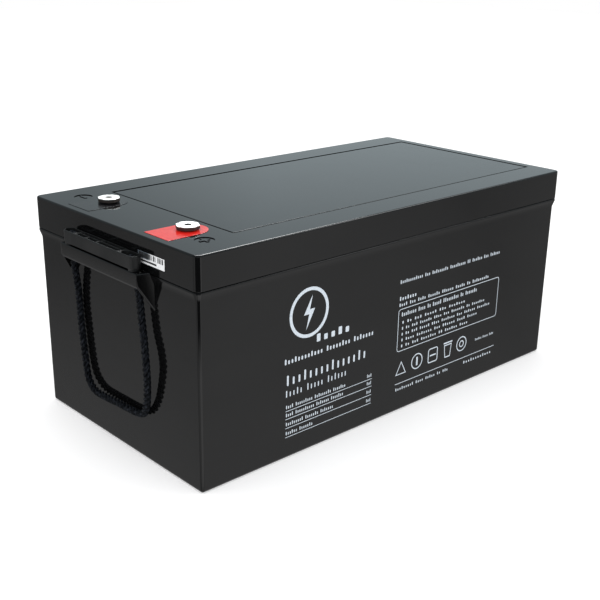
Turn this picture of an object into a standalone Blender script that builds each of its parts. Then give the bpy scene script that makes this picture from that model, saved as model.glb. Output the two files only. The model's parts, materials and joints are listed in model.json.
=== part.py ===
"""Deep cycle battery: a 25.6 V lithium iron phosphate pack in a large black moulded case.

X runs along the long sides, Y across and Z up. The origin is at the centre of the base.
Both terminals are at the -X end. A rope handle hangs at each end and slides straight up.
"""

import math

import bmesh
import bpy
from mathutils import Vector

# Driving dimensions, in metres.
LENGTH = 0.522
WIDTH = 0.270
LID_TOP = 0.225
SEAM = 0.1925
TOTAL_HEIGHT = 0.230
WALL = 0.0035
CORNER = 0.006
GAP = 0.0003

# Container.
RIM_INSET = 0.0025
RIM_BAND = 0.0095
DRAFT = 0.0005
BASE_FILLET = 0.003
FLOOR = 0.004
TONGUE = 0.0025
TONGUE_HEIGHT = 0.006

# Lid.
LID_FILLET = 0.0018
LID_PLATE = 0.005
SEAL_ROOM = 0.0085
COVER_LENGTH = 0.438
COVER_WIDTH = 0.195
COVER_FROM_END = 0.0695
COVER_RECESS = 0.0022
COVER_GROOVE = 0.0024
COVER_DROP = 0.0003
MARK_X = -0.226
MARK_Y = 0.100
MARK_RADIUS = 0.0092
MARK_DEPTH = 0.0007

# Terminals, one M8 insert on each side of the centre line.
TERMINAL_X = -0.218
TERMINAL_Y = 0.065
FLANGE_RADIUS = 0.0113
FLANGE_TURN = math.radians(39)
FLANGE_HEIGHT = 0.0036
SHANK_RADIUS = 0.007
SHANK_BOTTOM = LID_TOP - 0.014
THREAD_RADIUS = 0.0034
THREAD_DEPTH = 0.013
TAG_HALF_WIDTH = 0.0185
TAG_REACH = 0.0345
TAG_THICKNESS = 0.0006

# Rope handles. The frame of a handle lies on its slide axis, on top of its ledge.
HANDLE_X = -0.2663
HANDLE_OFFSET = 0.0012
LEDGE_TOP = 0.1942
LEDGE_FRONT = -0.2735
LEDGE_PLATE = 0.0030
LEDGE_WALL = 0.0016
APRON_BOTTOM = 0.1828
GUSSET_BOTTOM = 0.1573
LEDGE_HALF_LENGTH = 0.065
LEDGE_FLARE = 0.0054
ROPE_RADIUS = 0.00375
ROPE_HALF_SPREAD = 0.054
ROPE_HOLE_Y = ROPE_HALF_SPREAD + 0.0025
ROPE_HOLE_HALF_X = 0.0052
ROPE_HOLE_HALF_Y = 0.0068
GRIP_HALF_LENGTH = 0.0602
GRIP_DEPTH = 0.0118
GRIP_CENTRE = -0.0018
GRIP_HEIGHT = 0.0126
GRIP_LIFT = 0.0019
GRIP_HOLE_X = -0.0012
GRIP_HOLE_RADIUS = 0.0043
POCKET_Y = 0.0485
POCKET_HALF_X = 0.0048
POCKET_HALF_Y = 0.0098
POCKET_FLOOR = 0.0042
SLOT_SPREAD = 0.0026
SLOT_HALF_X = 0.0020
KNOT_Y = 0.0505

# Cell stack.
CELLS = 8
CELL_LENGTH = 0.048
CELL_WIDTH = 0.174
CELL_BOTTOM = 0.0076
CELL_TOP = 0.1736
CELL_POST_HEIGHT = 0.003
CELL_POST_Y = 0.055
INSULATOR = 0.0012
PITCH = CELL_LENGTH + INSULATOR + 2 * GAP
STACK_HALF = (CELLS * PITCH - INSULATOR - 2 * GAP) / 2
END_PLATE = 0.008
PLATE_TOP = 0.1817

# Worked out from the above.
HALF_X = LENGTH / 2
HALF_Y = WIDTH / 2
INNER_X = HALF_X - RIM_INSET - DRAFT - WALL
INNER_Y = HALF_Y - RIM_INSET - DRAFT - WALL
BOX_TOP = SEAM - GAP


def clear_scene():
    for old in list(bpy.data.objects):
        bpy.data.objects.remove(old, do_unlink=True)


def new_collection(name):
    made = bpy.data.collections.new(name)
    bpy.context.scene.collection.children.link(made)
    return made


def new_material(name, colour, roughness, metallic=0.0):
    made = bpy.data.materials.new(name)
    made.use_nodes = True
    shader = made.node_tree.nodes["Principled BSDF"]
    shader.inputs["Base Color"].default_value = (*colour, 1.0)
    shader.inputs["Roughness"].default_value = roughness
    shader.inputs["Metallic"].default_value = metallic
    return made


clear_scene()
BATTERY = new_collection("deep_cycle_battery")
TOOLS = new_collection("cutters")

CASE_BLACK = new_material("case_plastic", (0.020, 0.021, 0.023), 0.22)
GRIP_BLACK = new_material("grip_plastic", (0.018, 0.018, 0.019), 0.35)
ROPE_BLACK = new_material("rope_fibre", (0.012, 0.013, 0.014), 0.80)
NICKEL = new_material("plated_brass", (0.80, 0.78, 0.74), 0.22, 1.0)
TAG_RED = new_material("tag_red", (0.80, 0.04, 0.03), 0.40)
TAG_BLACK = new_material("tag_black", (0.03, 0.03, 0.03), 0.40)
LABEL_WHITE = new_material("label_paper", (0.85, 0.85, 0.85), 0.50)
SEAL_RUBBER = new_material("seal_rubber", (0.02, 0.02, 0.02), 0.70)
CELL_WRAP = new_material("cell_wrap", (0.03, 0.12, 0.45), 0.35)
INSULATOR_SHEET = new_material("insulator_sheet", (0.80, 0.75, 0.55), 0.60)
ALUMINIUM = new_material("aluminium", (0.75, 0.76, 0.78), 0.35, 1.0)
COPPER = new_material("tinned_copper", (0.72, 0.45, 0.30), 0.30, 1.0)
BOARD_GREEN = new_material("circuit_board", (0.02, 0.20, 0.06), 0.45)
CABLE_RED = new_material("cable_red", (0.60, 0.03, 0.02), 0.45)
CABLE_BLACK = new_material("cable_black", (0.02, 0.02, 0.02), 0.45)
STRAP_STEEL = new_material("strap_steel", (0.60, 0.61, 0.63), 0.30, 1.0)
FOAM_GREY = new_material("foam", (0.10, 0.10, 0.11), 0.95)


def add_mesh(name, bm, material=None):
    """Link a mesh object: a part when it has a material, a hidden cutter when it has none."""
    bm.normal_update()
    bmesh.ops.recalc_face_normals(bm, faces=bm.faces)
    mesh = bpy.data.meshes.new(name)
    bm.to_mesh(mesh)
    bm.free()
    mesh.shade_smooth()
    mesh.set_sharp_from_angle(angle=math.radians(30))
    made = bpy.data.objects.new(name, mesh)
    if material is None:
        TOOLS.objects.link(made)
        made.hide_render = True
        made.display_type = "WIRE"
    else:
        BATTERY.objects.link(made)
        mesh.materials.append(material)
    return made


def boolean(target, other, operation):
    made = target.modifiers.new(f"{operation.lower()}_{other.name}", "BOOLEAN")
    made.operation = operation
    made.object = other


def cut(target, *cutters):
    for cutter in cutters:
        boolean(target, cutter, "DIFFERENCE")


def join(target, *additions):
    for addition in additions:
        boolean(target, addition, "UNION")


def bevel(target, width, segments=2, limit=40):
    made = target.modifiers.new("rounded_edges", "BEVEL")
    made.width = width
    made.segments = segments
    made.limit_method = "ANGLE"
    made.angle_limit = math.radians(limit)


def box(name, low, high, material=None):
    low = Vector(low)
    high = Vector(high)
    bm = bmesh.new()
    bmesh.ops.create_cube(bm, size=1)
    bmesh.ops.scale(bm, vec=high - low, verts=bm.verts)
    bmesh.ops.translate(bm, vec=(low + high) / 2, verts=bm.verts)
    return add_mesh(name, bm, material)


def rod(name, centre, radius, low, high, sides=24, material=None):
    """A round bar along Z, from height low to height high."""
    bm = bmesh.new()
    bmesh.ops.create_cone(
        bm, cap_ends=True, segments=sides, radius1=radius, radius2=radius, depth=high - low
    )
    bmesh.ops.translate(bm, vec=(*centre, (low + high) / 2), verts=bm.verts)
    return add_mesh(name, bm, material)


def rounded_outline(half_x, half_y, radius, steps):
    """Points round a rectangle with arcs at its corners, counter-clockwise."""
    points = []
    for quarter, (side_x, side_y) in enumerate(((1, 1), (-1, 1), (-1, -1), (1, -1))):
        centre = Vector((side_x * (half_x - radius), side_y * (half_y - radius)))
        for step in range(steps + 1):
            angle = math.pi / 2 * (quarter + step / steps)
            points.append(centre + radius * Vector((math.cos(angle), math.sin(angle))))
    return points


def skin(name, rings, material=None, steps=5, closed=False):
    """Skin rounded rectangles (half_x, half_y, radius, z), capped unless they close on themselves."""
    bm = bmesh.new()
    loops = []
    for half_x, half_y, radius, z in rings:
        outline = rounded_outline(half_x, half_y, radius, steps)
        loops.append([bm.verts.new((*point, z)) for point in outline])
    pairs = list(zip(loops, loops[1:]))
    if closed:
        pairs.append((loops[-1], loops[0]))
    else:
        bm.faces.new(loops[0])
        bm.faces.new(loops[-1])
    for lower, upper in pairs:
        for here in range(len(lower)):
            after = (here + 1) % len(lower)
            bm.faces.new((lower[here], lower[after], upper[after], upper[here]))
    return add_mesh(name, bm, material)


def ring(inset, z):
    """The case's outline drawn in by an inset, with the corner radius kept concentric."""
    return (HALF_X - inset, HALF_Y - inset, max(CORNER - inset, 0.0015), z)


def inner_ring(z, grow=0.0):
    return (INNER_X + grow, INNER_Y + grow, 0.003, z)


def tube(name, points, radius, material, sides_level=2):
    """A round tube along a list of points."""
    curve = bpy.data.curves.new(name, "CURVE")
    curve.dimensions = "3D"
    curve.bevel_depth = radius
    curve.bevel_resolution = sides_level
    curve.use_fill_caps = True
    spline = curve.splines.new("POLY")
    spline.points.add(len(points) - 1)
    for place, point in zip(spline.points, points):
        place.co = (*point, 1)
    made = bpy.data.objects.new(name, curve)
    BATTERY.objects.link(made)
    curve.materials.append(material)
    return made


def smooth_route(points, step):
    """Even points along the Catmull-Rom curve through the given ones."""
    knots = [Vector(point) for point in points]
    knots = [2 * knots[0] - knots[1], *knots, 2 * knots[-1] - knots[-2]]
    fine = []
    for a, b, c, d in zip(knots, knots[1:], knots[2:], knots[3:]):
        for i in range(20):
            t = i / 20
            fine.append(
                0.5 * (2 * b + (c - a) * t + (2 * a - 5 * b + 4 * c - d) * t**2 + (3 * b - a - 3 * c + d) * t**3)
            )
    fine.append(knots[-2])
    lengths = [0.0]
    for before, after in zip(fine, fine[1:]):
        lengths.append(lengths[-1] + (after - before).length)
    count = max(2, round(lengths[-1] / step))
    route = []
    at = 0
    for i in range(count + 1):
        wanted = lengths[-1] * i / count
        while at < len(lengths) - 2 and lengths[at + 1] < wanted:
            at += 1
        share = (wanted - lengths[at]) / (lengths[at + 1] - lengths[at])
        route.append(fine[at].lerp(fine[at + 1], share))
    return route


# Case ---------------------------------------------------------------------------------------


def ledge(side):
    """The hollow bracket moulded on an end wall, open below, with two oval holes for the rope.

    It is drawn for the -X end, and side = -1 turns it half a turn about Z for the other end.
    """
    prefix = "left" if side == 1 else "right"

    def hexahedron(name, front, back, half_front, half_back, top, front_bottom, back_bottom):
        bm = bmesh.new()
        bmesh.ops.create_cube(bm, size=2)
        for vert in bm.verts:
            at_front = vert.co.x < 0
            x = front if at_front else back
            half = half_front if at_front else half_back
            bottom = front_bottom if at_front else back_bottom
            z = top if vert.co.z > 0 else bottom
            vert.co = (side * x, side * (HANDLE_OFFSET + vert.co.y * half), z)
        return add_mesh(name, bm)

    back = -HALF_X + 0.005
    lean = (GUSSET_BOTTOM - APRON_BOTTOM) / (-HALF_X + RIM_INSET - LEDGE_FRONT)
    half_back = LEDGE_HALF_LENGTH + LEDGE_FLARE
    body = hexahedron(
        f"{prefix}_ledge_body",
        LEDGE_FRONT,
        back,
        LEDGE_HALF_LENGTH,
        half_back,
        LEDGE_TOP,
        APRON_BOTTOM,
        APRON_BOTTOM + lean * (back - LEDGE_FRONT),
    )
    bevel(body, 0.0012)
    hollow = hexahedron(
        f"{prefix}_ledge_hollow",
        LEDGE_FRONT + LEDGE_WALL,
        back,
        LEDGE_HALF_LENGTH - LEDGE_WALL,
        half_back - LEDGE_WALL,
        LEDGE_TOP - LEDGE_PLATE,
        GUSSET_BOTTOM - 0.02,
        GUSSET_BOTTOM - 0.02,
    )
    room = 0.0006
    lid_room = box(
        f"{prefix}_lid_room",
        (-HALF_X - room, -HALF_Y, BOX_TOP - room),
        (HALF_X + room, HALF_Y, LID_TOP),
    )
    cut(body, hollow, lid_room)
    for number, y in enumerate((ROPE_HOLE_Y, -ROPE_HOLE_Y), 1):
        hole = skin(
            f"{prefix}_rope_hole_{number}",
            [
                (ROPE_HOLE_HALF_X, ROPE_HOLE_HALF_Y, ROPE_HOLE_HALF_X - 0.0002, z)
                for z in (LEDGE_TOP - 0.01, LEDGE_TOP + 0.01)
            ],
            steps=6,
        )
        hole.location = (side * HANDLE_X, side * (HANDLE_OFFSET + y), 0)
        cut(body, hole)
    return body


def container():
    """The open box: outside from the base up, over the tongue, and down inside to the floor."""
    body_inset = RIM_INSET + DRAFT
    rings = [
        ring(body_inset + BASE_FILLET, 0),
        ring(body_inset + 0.3 * BASE_FILLET, 0.3 * BASE_FILLET),
        ring(body_inset, BASE_FILLET),
        ring(RIM_INSET, SEAM - RIM_BAND),
        ring(0, BOX_TOP - 0.0008),
        ring(0.0005, BOX_TOP),
        inner_ring(BOX_TOP, TONGUE),
        inner_ring(SEAM + TONGUE_HEIGHT, TONGUE),
        inner_ring(SEAM + TONGUE_HEIGHT),
        inner_ring(FLOOR),
    ]
    made = skin("container", rings, CASE_BLACK)
    join(made, ledge(1), ledge(-1))
    return made


def polarity_mark(name, y, positive):
    """A round recess in the lid, with a raised plus or minus sign standing in it."""
    recess = rod(f"{name}_recess", (MARK_X, y), MARK_RADIUS, LID_TOP - MARK_DEPTH, LID_TOP + 0.002, 32)
    long, short = 0.0055, 0.0012
    low, high = LID_TOP - 0.002, LID_TOP - 0.0001
    signs = [box(f"{name}_bar", (MARK_X - short, y - long, low), (MARK_X + short, y + long, high))]
    if positive:
        stroke = box(f"{name}_stroke", (MARK_X - long, y - short, low), (MARK_X + long, y + short, high))
        join(signs[0], stroke)
    return recess, signs[0]


def lid():
    """The lid: its top, its outer side, the underside of the skirt, and the inside."""
    skirt_inner = INNER_X + TONGUE + 0.0004
    grow = skirt_inner - INNER_X
    bottom = SEAM + GAP
    rings = [
        ring(LID_FILLET, LID_TOP),
        ring(0.3 * LID_FILLET, LID_TOP - 0.3 * LID_FILLET),
        ring(0, LID_TOP - LID_FILLET),
        ring(0, bottom + 0.0008),
        ring(0.0005, bottom),
        inner_ring(bottom, grow),
        inner_ring(SEAM + SEAL_ROOM, grow),
        inner_ring(SEAM + SEAL_ROOM, -0.0005),
        inner_ring(LID_TOP - LID_PLATE, -0.0005),
    ]
    made = skin("lid", rings, CASE_BLACK)
    recess = skin(
        "cover_recess",
        [
            (COVER_LENGTH / 2 + COVER_GROOVE, COVER_WIDTH / 2 + COVER_GROOVE, 0.002, z)
            for z in (LID_TOP - COVER_RECESS, LID_TOP + 0.01)
        ],
        steps=3,
    )
    recess.location.x = cover_centre()
    cut(made, recess)
    for name, y in (("negative", TERMINAL_Y), ("positive", -TERMINAL_Y)):
        centre = (TERMINAL_X, y)
        low = LID_TOP - 0.02
        cut(made, rod(f"{name}_shank_hole", centre, SHANK_RADIUS + GAP, low, LID_TOP + 0.01))
        seat = rod(f"{name}_seal_seat", centre, SHANK_RADIUS + 0.003, LID_TOP - 0.0026, LID_TOP + 0.01)
        cut(made, seat)
    for name, y in (("negative_mark", MARK_Y), ("positive_mark", -MARK_Y)):
        recess, sign = polarity_mark(name, y, name.startswith("positive"))
        cut(made, recess)
        join(made, sign)
    return made


def cover_centre():
    return -HALF_X + COVER_FROM_END + COVER_LENGTH / 2


def cover_plate():
    """The plate set in the lid's recess, a little below the lid's top."""
    low = LID_TOP - COVER_RECESS + GAP
    high = LID_TOP - COVER_DROP
    edge = 0.0004
    rings = [
        (COVER_LENGTH / 2, COVER_WIDTH / 2, 0.0015, low),
        (COVER_LENGTH / 2, COVER_WIDTH / 2, 0.0015, high - edge),
        (COVER_LENGTH / 2 - edge, COVER_WIDTH / 2 - edge, 0.0012, high),
    ]
    made = skin("lid_cover_plate", rings, CASE_BLACK, steps=3)
    made.location.x = cover_centre()


def lid_seal():
    """The rubber cord on top of the container's tongue."""
    low = SEAM + TONGUE_HEIGHT + GAP
    high = SEAM + SEAL_ROOM - GAP
    rings = [
        inner_ring(low, TONGUE - 0.0003),
        inner_ring(high, TONGUE - 0.0003),
        inner_ring(high, 0.0004),
        inner_ring(low, 0.0004),
    ]
    skin("lid_seal", rings, SEAL_RUBBER, closed=True)


# Terminals ----------------------------------------------------------------------------------


def terminal(name, y):
    """A plated insert: an eight-sided flange on the lid, a round shank, and a blind M8 hole."""
    top = TOTAL_HEIGHT
    flange_low = top - FLANGE_HEIGHT
    made = rod(f"{name}_terminal", (0, 0), FLANGE_RADIUS, flange_low, top, 8, NICKEL)
    made.location = (TERMINAL_X, y, 0)
    made.rotation_euler.z = FLANGE_TURN
    bevel(made, 0.0005, 1)
    centre = (TERMINAL_X, y)
    join(made, rod(f"{name}_shank", centre, SHANK_RADIUS, SHANK_BOTTOM, flange_low + 0.001))
    cut(made, rod(f"{name}_thread", centre, THREAD_RADIUS, top - THREAD_DEPTH, top + 0.002))


def terminal_seal(name, y):
    """The O-ring in its seat under the flange."""
    radius = 0.0011
    steps = 8
    middle = SHANK_RADIUS + GAP + radius
    angles = [-2 * math.pi * i / steps for i in range(steps)]
    points = [(middle + radius * math.cos(a), 0, radius * math.sin(a)) for a in angles]
    mesh = bpy.data.meshes.new(f"{name}_seal")
    mesh.from_pydata(points, [(i, (i + 1) % steps) for i in range(steps)], [])
    made = bpy.data.objects.new(f"{name}_seal", mesh)
    BATTERY.objects.link(made)
    mesh.materials.append(SEAL_RUBBER)
    made.location = (TERMINAL_X, y, LID_TOP - 0.0012)
    screw = made.modifiers.new("turn", "SCREW")
    screw.steps = 24
    screw.render_steps = 24
    screw.use_merge_vertices = True
    screw.merge_threshold = 0.00001


def polarity_tag(name, y, material):
    """The coloured D-shaped washer under a terminal, its straight end towards the case's end."""
    steps = 16
    outline = [(-TAG_REACH, TAG_HALF_WIDTH), (-TAG_REACH, -TAG_HALF_WIDTH)]
    for step in range(steps + 1):
        angle = math.pi * (step / steps - 0.5)
        outline.append((TAG_HALF_WIDTH * math.cos(angle), TAG_HALF_WIDTH * math.sin(angle)))
    bm = bmesh.new()
    face = bm.faces.new([bm.verts.new((x, across, 0)) for x, across in outline])
    grown = bmesh.ops.extrude_face_region(bm, geom=[face])
    moved = [item for item in grown["geom"] if isinstance(item, bmesh.types.BMVert)]
    bmesh.ops.translate(bm, vec=(0, 0, TAG_THICKNESS), verts=moved)
    made = add_mesh(name, bm, material)
    made.location = (TERMINAL_X, y, LID_TOP + GAP)
    hole = rod(f"{name}_hole", (TERMINAL_X, y), SHANK_RADIUS + GAP, LID_TOP - 0.01, LID_TOP + 0.01)
    cut(made, hole)


def sticker():
    """The small paper label on the lid's skirt beside the handle."""
    low = (-HALF_X - GAP - 0.00025, -0.0892, 0.2006)
    made = box("barcode_sticker", low, (-HALF_X - GAP, -0.049, 0.2112), LABEL_WHITE)
    bevel(made, 0.0001, 1)


# Handles ------------------------------------------------------------------------------------


def handle_frame(name, side):
    """The empty on a handle's slide axis, at rest, with its local -X pointing outwards."""
    made = bpy.data.objects.new(name, None)
    BATTERY.objects.link(made)
    made.empty_display_size = 0.02
    made.location = (side * HANDLE_X, side * HANDLE_OFFSET, LEDGE_TOP)
    made.rotation_euler.z = 0 if side == 1 else math.pi
    return made


# The grip's slots in two rows, as row (-1 outer, 1 inner), place along it and half length.
SLOTS = [
    (-1, 0.0270, 0.0080),
    (-1, 0.0096, 0.0078),
    (-1, -0.0184, 0.0166),
    (1, 0.0184, 0.0166),
    (1, -0.0184, 0.0166),
]


def grip(prefix, frame):
    """The hard bar: round ends, cored from above, with a pocket for a knot at each end."""
    half_x = GRIP_DEPTH / 2
    low = GRIP_LIFT
    high = GRIP_LIFT + GRIP_HEIGHT
    edge = 0.0010
    radius = half_x - 0.0002
    rings = [
        (half_x - edge, GRIP_HALF_LENGTH - edge, radius - edge, low),
        (half_x, GRIP_HALF_LENGTH, radius, low + edge),
        (half_x, GRIP_HALF_LENGTH, radius, high - edge),
        (half_x - edge, GRIP_HALF_LENGTH - edge, radius - edge, high),
    ]
    made = skin(f"{prefix}_handle_grip", rings, GRIP_BLACK, steps=6)
    made.location.x = GRIP_CENTRE
    made.parent = frame
    floor = low + POCKET_FLOOR
    tools = []
    for number, y in enumerate((POCKET_Y, -POCKET_Y), 1):
        pocket = skin(
            f"{prefix}_knot_pocket_{number}",
            [(POCKET_HALF_X, POCKET_HALF_Y, POCKET_HALF_X - 0.0003, z) for z in (floor, high + 0.01)],
            steps=4,
        )
        pocket.location = (GRIP_CENTRE, y, 0)
        tools.append(pocket)
    for number, y in enumerate((ROPE_HALF_SPREAD, -ROPE_HALF_SPREAD), 1):
        foot = rod(f"{prefix}_grip_foot_{number}", (GRIP_CENTRE, y), 0.0055, GAP, low + 0.002, 20)
        foot.parent = frame
        join(made, foot)
        hole = rod(f"{prefix}_grip_hole_{number}", (GRIP_HOLE_X, y), GRIP_HOLE_RADIUS, -0.01, high)
        tools.append(hole)
    for number, (row, y, half_y) in enumerate(SLOTS, 1):
        slot = skin(
            f"{prefix}_slot_{number}",
            [(SLOT_HALF_X, half_y, 0.0012, z) for z in (floor, high + 0.01)],
            steps=2,
        )
        slot.location = (GRIP_CENTRE + row * SLOT_SPREAD, y, 0)
        tools.append(slot)
    for tool in tools:
        tool.parent = frame
    cut(made, *tools)


def knot(name, frame, y):
    """The overhand knot that stops the rope's end in its pocket: a squat three-lobed lump."""
    bm = bmesh.new()
    bmesh.ops.create_uvsphere(bm, u_segments=18, v_segments=8, radius=1)
    for vert in bm.verts:
        angle = math.atan2(vert.co.y, vert.co.x)
        swell = 1 + 0.10 * math.cos(3 * angle)
        vert.co = (0.0040 * swell * vert.co.x, 0.0060 * swell * vert.co.y, 0.0038 * vert.co.z)
    made = add_mesh(name, bm, ROPE_BLACK)
    made.location = (GRIP_CENTRE, y, GRIP_LIFT + POCKET_FLOOR + 0.0042)
    made.parent = frame


# The rope's way from one hole to the other, in the handle's frame: down through the ledge,
# round a flat-bottomed loop against the end wall, and back up on a leg that bows away from it.
ROPE_ROUTE = [
    (-0.0012, 0.0540, 0.0058),
    (-0.0011, 0.0540, 0.0030),
    (-0.0008, 0.0540, -0.0002),
    (0.0000, 0.0540, -0.0080),
    (0.0009, 0.0544, -0.0270),
    (0.0022, 0.0548, -0.0370),
    (0.0032, 0.0551, -0.0470),
    (0.0037, 0.0552, -0.0580),
    (0.0038, 0.0548, -0.0740),
    (0.0037, 0.0532, -0.0930),
    (0.0037, 0.0512, -0.1120),
    (0.0034, 0.0485, -0.1290),
    (0.0028, 0.0435, -0.1405),
    (0.0024, 0.0318, -0.1480),
    (0.0028, 0.0113, -0.1485),
    (0.0035, -0.0081, -0.1475),
    (0.0037, -0.0248, -0.1470),
    (0.0036, -0.0415, -0.1455),
    (0.0030, -0.0528, -0.1412),
    (0.0015, -0.0597, -0.1298),
    (0.0004, -0.0630, -0.1175),
    (-0.0006, -0.0651, -0.1040),
    (-0.0012, -0.0657, -0.0930),
    (-0.0008, -0.0641, -0.0780),
    (0.0003, -0.0614, -0.0640),
    (0.0006, -0.0590, -0.0490),
    (0.0006, -0.0568, -0.0290),
    (0.0000, -0.0545, -0.0080),
    (-0.0008, -0.0540, -0.0002),
    (-0.0011, -0.0540, 0.0030),
    (-0.0012, -0.0540, 0.0058),
]


def handle(prefix, side):
    frame = handle_frame(f"{prefix}_handle_slide", side)
    grip(prefix, frame)
    rope = tube(f"{prefix}_handle_rope", smooth_route(ROPE_ROUTE, 0.009), ROPE_RADIUS, ROPE_BLACK)
    rope.parent = frame
    for number, y in enumerate((KNOT_Y, -KNOT_Y), 1):
        knot(f"{prefix}_rope_knot_{number}", frame, y)


# Inside -------------------------------------------------------------------------------------


def cell_x(number):
    return (number - (CELLS - 1) / 2) * PITCH


def cell(number):
    """A prismatic cell: a can with two posts on top."""
    x = cell_x(number)
    half_x = CELL_LENGTH / 2
    half_y = CELL_WIDTH / 2
    made = skin(
        f"cell_{number + 1}",
        [
            (half_x - 0.001, half_y - 0.001, 0.002, CELL_BOTTOM),
            (half_x, half_y, 0.003, CELL_BOTTOM + 0.001),
            (half_x, half_y, 0.003, CELL_TOP - 0.001),
            (half_x - 0.001, half_y - 0.001, 0.002, CELL_TOP),
        ],
        CELL_WRAP,
        steps=2,
    )
    made.location.x = x
    for post, y in enumerate((CELL_POST_Y, -CELL_POST_Y), 1):
        low, high = CELL_TOP - 0.002, CELL_TOP + CELL_POST_HEIGHT
        join(made, rod(f"cell_{number + 1}_post_{post}", (x, y), 0.008, low, high, 16))


def insulator(number):
    x = (cell_x(number) + cell_x(number + 1)) / 2
    half = INSULATOR / 2
    box(
        f"cell_insulator_{number + 1}",
        (x - half, -CELL_WIDTH / 2 + 0.001, CELL_BOTTOM + 0.001),
        (x + half, CELL_WIDTH / 2 - 0.001, CELL_TOP - 0.002),
        INSULATOR_SHEET,
    )


def busbar(number):
    """The link from one cell's positive post to the next one's negative post."""
    x = (cell_x(number) + cell_x(number + 1)) / 2
    y = -CELL_POST_Y if number % 2 else CELL_POST_Y
    low = CELL_TOP + CELL_POST_HEIGHT + GAP
    half_x = PITCH / 2 + 0.009
    rings = [(half_x, 0.010, 0.004, z) for z in (low, low + 0.002)]
    made = skin(f"busbar_{number + 1}", rings, COPPER, steps=3)
    made.location = (x, y, 0)


def end_plate(name, side):
    low_x = STACK_HALF + GAP
    ends = sorted((side * low_x, side * (low_x + END_PLATE)))
    half_y = CELL_WIDTH / 2
    made = box(name, (ends[0], -half_y, CELL_BOTTOM), (ends[1], half_y, PLATE_TOP), ALUMINIUM)
    bevel(made, 0.0015, 1)


def strap(name, z):
    """A steel band round the stack and its end plates."""
    half_x = STACK_HALF + 2 * GAP + END_PLATE
    half_y = CELL_WIDTH / 2 + GAP
    thick = 0.0008
    width = 0.012
    rings = [
        (half_x, half_y, 0.001, z),
        (half_x + thick, half_y + thick, 0.0018, z),
        (half_x + thick, half_y + thick, 0.0018, z + width),
        (half_x, half_y, 0.001, z + width),
    ]
    skin(name, rings, STRAP_STEEL, steps=2, closed=True)


def foam_blocks():
    """The floor pad and the four blocks that hold the stack off the case's walls."""
    pad_low = FLOOR + GAP
    stack_end = STACK_HALF + END_PLATE + 0.002
    side_end = stack_end - 0.001
    box("floor_pad", (-side_end, -0.088, pad_low), (side_end, 0.088, CELL_BOTTOM - GAP), FOAM_GREY)
    wall_x = INNER_X - 0.0005
    wall_y = INNER_Y - 0.0005
    top = CELL_TOP - 0.010
    box("front_foam_block", (-wall_x, -0.095, pad_low), (-stack_end, 0.095, top), FOAM_GREY)
    box("rear_foam_block", (stack_end, -0.095, pad_low), (wall_x, 0.095, top), FOAM_GREY)
    side_low = CELL_WIDTH / 2 + 0.002
    box("left_foam_block", (-side_end, side_low, pad_low), (side_end, wall_y, top), FOAM_GREY)
    box("right_foam_block", (-side_end, -wall_y, pad_low), (side_end, -side_low, top), FOAM_GREY)


def management_system():
    """The tray on the end plates, the board on the tray, and the finned heat sink on the board."""
    tray_low = PLATE_TOP + GAP
    tray_top = tray_low + 0.0025
    box("bms_tray", (-0.205, -0.046, tray_low), (0.205, 0.046, tray_top), INSULATOR_SHEET)
    board_low = tray_top + GAP
    board = box("bms_board", (-0.110, -0.044, board_low), (0.070, 0.044, board_low + 0.003), BOARD_GREEN)
    for number in range(4):
        x = -0.095 + 0.013 * number
        part = box(
            f"board_part_{number}", (x, -0.030, board_low + 0.001), (x + 0.009, 0.030, board_low + 0.007)
        )
        join(board, part)
    sink_low = board_low + 0.003 + GAP
    sink = box("bms_heat_sink", (-0.035, -0.042, sink_low), (0.066, 0.042, sink_low + 0.004), ALUMINIUM)
    for number in range(9):
        y = -0.038 + 0.009 * number
        fin = box(
            f"fin_{number}", (-0.035, y, sink_low + 0.002), (0.066, y + 0.003, sink_low + 0.013)
        )
        join(sink, fin)


def cables():
    """The pack's three power leads."""
    post_top = CELL_TOP + CELL_POST_HEIGHT + 0.001
    lug = 0.004
    under = SHANK_BOTTOM - 0.001
    first = cell_x(0)
    last = cell_x(CELLS - 1)
    positive = [
        (TERMINAL_X, -TERMINAL_Y, under),
        (TERMINAL_X, -TERMINAL_Y - 0.004, under - 0.014),
        (TERMINAL_X + 0.014, -TERMINAL_Y - 0.018, under - 0.020),
        (-0.150, -0.088, under - 0.016),
        (0.000, -0.089, under - 0.018),
        (0.120, -0.089, under - 0.016),
        (last - 0.008, -0.084, under - 0.013),
        (last, -0.068, under - 0.016),
        (last, -CELL_POST_Y, under - 0.024),
        (last, -CELL_POST_Y, post_top),
    ]
    negative = [
        (TERMINAL_X, TERMINAL_Y, under),
        (TERMINAL_X, TERMINAL_Y - 0.003, under - 0.010),
        (TERMINAL_X + 0.020, TERMINAL_Y - 0.020, under - 0.015),
        (-0.160, 0.030, under - 0.015),
        (-0.130, 0.022, under - 0.0205),
        (-0.1112, 0.020, under - 0.0212),
    ]
    stack = [
        (first, -CELL_POST_Y, post_top),
        (first, -CELL_POST_Y, post_top + 0.006),
        (first + 0.008, -0.053, post_top + 0.0135),
        (first + 0.030, -0.050, post_top + 0.0165),
        (-0.118, -0.044, post_top + 0.0165),
        (-0.100, -0.036, post_top + 0.0160),
    ]
    tube("positive_cable", smooth_route(positive, 0.012), lug, CABLE_RED)
    tube("negative_cable", smooth_route(negative, 0.010), lug, CABLE_BLACK)
    tube("stack_cable", smooth_route(stack, 0.010), lug, CABLE_BLACK)


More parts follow.
